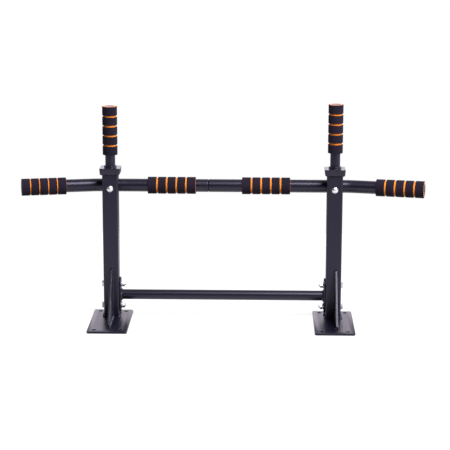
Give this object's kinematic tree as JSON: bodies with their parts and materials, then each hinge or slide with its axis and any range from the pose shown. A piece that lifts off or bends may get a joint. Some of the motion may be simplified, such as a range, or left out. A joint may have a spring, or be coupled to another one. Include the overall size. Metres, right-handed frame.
{
  "type": "wall-mounted pull-up bar",
  "caption": "Wall-mounted pull-up bar: square steel arms on wall plates carry a wide bar with angled ends, a lower cross bar, and foam grips on the bar and on tubes at the arm tips.",
  "frame": {"origin": "centre of the whole part's box, on the plane of the wall behind the wall plates", "axes": "+X right along the bars, +Z away from the wall, -Y the side that hangs down in use, where the gussets are"},
  "size_m": [0.9884, 0.2182, 0.5323],
  "materials": {
    "black_powder_coat": "satin black powder coat on steel",
    "black_moulded_plastic": "smooth black moulding",
    "black_foam_rubber": "matt black foam with an orange core in its grooves and ends",
    "bright_zinc_plate": "bright zinc plate"
  },
  "bodies": {
    "root": {"wall_plate_left": "black_powder_coat", "arm_tube_left": "black_powder_coat", "gusset_left": "black_powder_coat", "arm_end_cap_left": "black_moulded_plastic", "parallel_grip_tube_left": "black_powder_coat", "grip_tube_guide_left": "black_moulded_plastic", "grip_tube_plug_left": "black_moulded_plastic", "main_bar_left": "black_powder_coat", "main_bar_plug_left": "black_moulded_plastic", "main_bar_bolt_left": "bright_zinc_plate", "main_bar_saddle_washer_left": "bright_zinc_plate", "main_bar_nut_left": "bright_zinc_plate", "cross_bar_flange_left": "black_powder_coat", "centre_foam_grip_left": "black_foam_rubber", "outer_foam_grip_left": "black_foam_rubber", "parallel_foam_grip_left": "black_foam_rubber", "cross_bar_bolt_left_lower": "bright_zinc_plate", "cross_bar_washer_left_lower": "bright_zinc_plate", "cross_bar_nut_left_lower": "bright_zinc_plate", "cross_bar_bolt_left_upper": "bright_zinc_plate", "cross_bar_washer_left_upper": "bright_zinc_plate", "cross_bar_nut_left_upper": "bright_zinc_plate", "wall_plate_right": "black_powder_coat", "arm_tube_right": "black_powder_coat", "gusset_right": "black_powder_coat", "arm_end_cap_right": "black_moulded_plastic", "parallel_grip_tube_right": "black_powder_coat", "grip_tube_guide_right": "black_moulded_plastic", "grip_tube_plug_right": "black_moulded_plastic", "main_bar_right": "black_powder_coat", "main_bar_plug_right": "black_moulded_plastic", "main_bar_bolt_right": "bright_zinc_plate", "main_bar_saddle_washer_right": "bright_zinc_plate", "main_bar_nut_right": "bright_zinc_plate", "cross_bar_flange_right": "black_powder_coat", "centre_foam_grip_right": "black_foam_rubber", "outer_foam_grip_right": "black_foam_rubber", "parallel_foam_grip_right": "black_foam_rubber", "cross_bar_bolt_right_lower": "bright_zinc_plate", "cross_bar_washer_right_lower": "bright_zinc_plate", "cross_bar_nut_right_lower": "bright_zinc_plate", "cross_bar_bolt_right_upper": "bright_zinc_plate", "cross_bar_washer_right_upper": "bright_zinc_plate", "cross_bar_nut_right_upper": "bright_zinc_plate", "main_bar_joining_sleeve": "black_powder_coat", "cross_bar": "black_powder_coat"}
  },
  "joints": []
}
